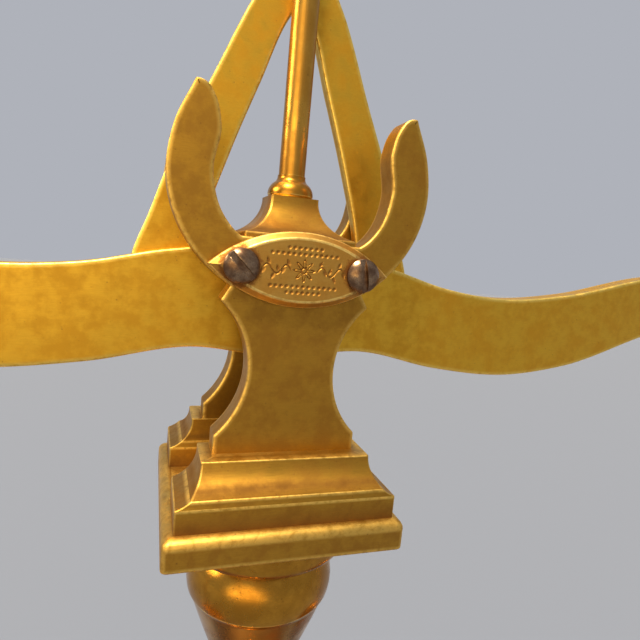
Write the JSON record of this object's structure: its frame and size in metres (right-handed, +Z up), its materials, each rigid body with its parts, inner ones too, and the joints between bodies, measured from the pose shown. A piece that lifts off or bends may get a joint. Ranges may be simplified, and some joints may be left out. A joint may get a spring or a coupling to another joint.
{
  "type": "equal-arm column balance",
  "caption": "Antique style brass equal-arm balance: turned column, forked bearing head, harp-framed swan-neck beam and two hanging pans on a wooden plinth.",
  "frame": {"origin": "centre of the bounding box's underside, on the surface that the feet stand on, below the column's axis", "axes": "+Z up along the column, X along the beam, -Y towards the front, where the engraved cap is"},
  "size_m": [0.471, 0.15, 0.4088],
  "materials": {
    "walnut": "waxed",
    "turned_brass": "polished and toned",
    "cast_brass": "cast, filed and toned",
    "cap_brass": "filed, bevelled rim",
    "beam_brass": "fine filed plate",
    "drawn_brass": "drawn wire and rod",
    "spun_brass": "spun",
    "hardened_steel": "ground",
    "plain_steel": "plain",
    "brown_screw_steel": "browned with age"
  },
  "bodies": {
    "stand": {"plinth": "walnut", "plinth_feet": "turned_brass", "column": "turned_brass", "tie_rod": "plain_steel", "tie_washer": "plain_steel", "tie_nut": "plain_steel", "square_plate": "cast_brass", "standard_screws": "plain_steel", "front_standard": "cast_brass", "rear_standard": "cast_brass", "front_bearing": "hardened_steel", "rear_bearing": "hardened_steel", "front_cap": "cap_brass", "rear_cap": "cap_brass", "front_cap_screws": "brown_screw_steel", "rear_cap_screws": "brown_screw_steel", "bridge": "cast_brass", "bridge_dowels": "plain_steel", "index_collar": "turned_brass", "index_rod": "drawn_brass"},
    "balance_beam": {"beam": "beam_brass", "centre_knife": "hardened_steel", "harp": "beam_brass", "harp_screws": "plain_steel", "harp_finial": "turned_brass", "left_end_knife": "hardened_steel", "right_end_knife": "hardened_steel"},
    "left_hanger": {"left_stirrup": "drawn_brass", "left_hook": "drawn_brass"},
    "left_carrier": {"left_bow": "drawn_brass"},
    "left_dish": {"left_pan": "spun_brass"},
    "right_hanger": {"right_stirrup": "drawn_brass", "right_hook": "drawn_brass"},
    "right_carrier": {"right_bow": "drawn_brass"},
    "right_dish": {"right_pan": "spun_brass"}
  },
  "joints": [
    {"name": "beam_tilt", "type": "hinge", "parent": "stand", "child": "balance_beam", "pos_m": [0, 0, 0.3309], "axis": [0, 1, 0], "range_deg": [-6, 6]},
    {"name": "left_hanger_plumb", "type": "hinge", "parent": "balance_beam", "child": "left_hanger", "pos_m": [-0.17, 0.0006, 0.3306], "axis": [0, 1, 0], "range_deg": [-6, 6]},
    {"name": "left_bow_swing", "type": "hinge", "parent": "left_hanger", "child": "left_carrier", "pos_m": [-0.17, 0.0006, 0.2906], "axis": [1, 0, 0], "range_deg": [-12, 12]},
    {"name": "left_pan_lift", "type": "slide", "parent": "left_carrier", "child": "left_dish", "axis": [0, 0, 1], "range_m": [0, 0.025]},
    {"name": "right_hanger_plumb", "type": "hinge", "parent": "balance_beam", "child": "right_hanger", "pos_m": [0.17, 0.0006, 0.3306], "axis": [0, 1, 0], "range_deg": [-6, 6]},
    {"name": "right_bow_swing", "type": "hinge", "parent": "right_hanger", "child": "right_carrier", "pos_m": [0.17, 0.0006, 0.2906], "axis": [1, 0, 0], "range_deg": [-12, 12]},
    {"name": "right_pan_lift", "type": "slide", "parent": "right_carrier", "child": "right_dish", "axis": [0, 0, 1], "range_m": [0, 0.025]}
  ],
  "couplings": [
    {"joint": "left_hanger_plumb", "follows": "beam_tilt", "ratio": -1},
    {"joint": "right_hanger_plumb", "follows": "beam_tilt", "ratio": -1}
  ]
}
